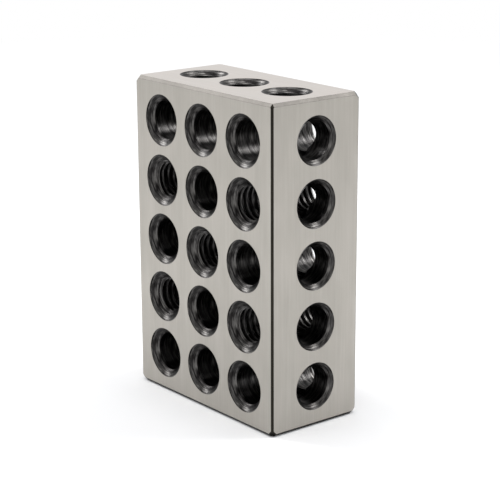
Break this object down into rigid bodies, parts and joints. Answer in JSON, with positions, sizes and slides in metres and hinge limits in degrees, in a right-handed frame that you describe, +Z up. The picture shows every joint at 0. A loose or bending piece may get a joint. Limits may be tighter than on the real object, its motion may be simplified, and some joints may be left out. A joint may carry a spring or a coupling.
{
  "type": "machinist setup block",
  "caption": "Ground steel setup block in the 1-2-3 inch proportion, with crossing countersunk through holes on every face and tapped holes among them.",
  "frame": {"origin": "centre of the underside, the 1 by 2 inch end that the block stands on", "axes": "+X along the 2 inch width, +Y through the 1 inch thickness, +Z up the 3 inch height"},
  "size_m": [0.0508, 0.0254, 0.0762],
  "materials": {
    "ground_steel": "surface-ground satin steel, with bright tool marks in the holes"
  },
  "bodies": {
    "root": {"setup_block": "ground_steel"}
  },
  "joints": []
}
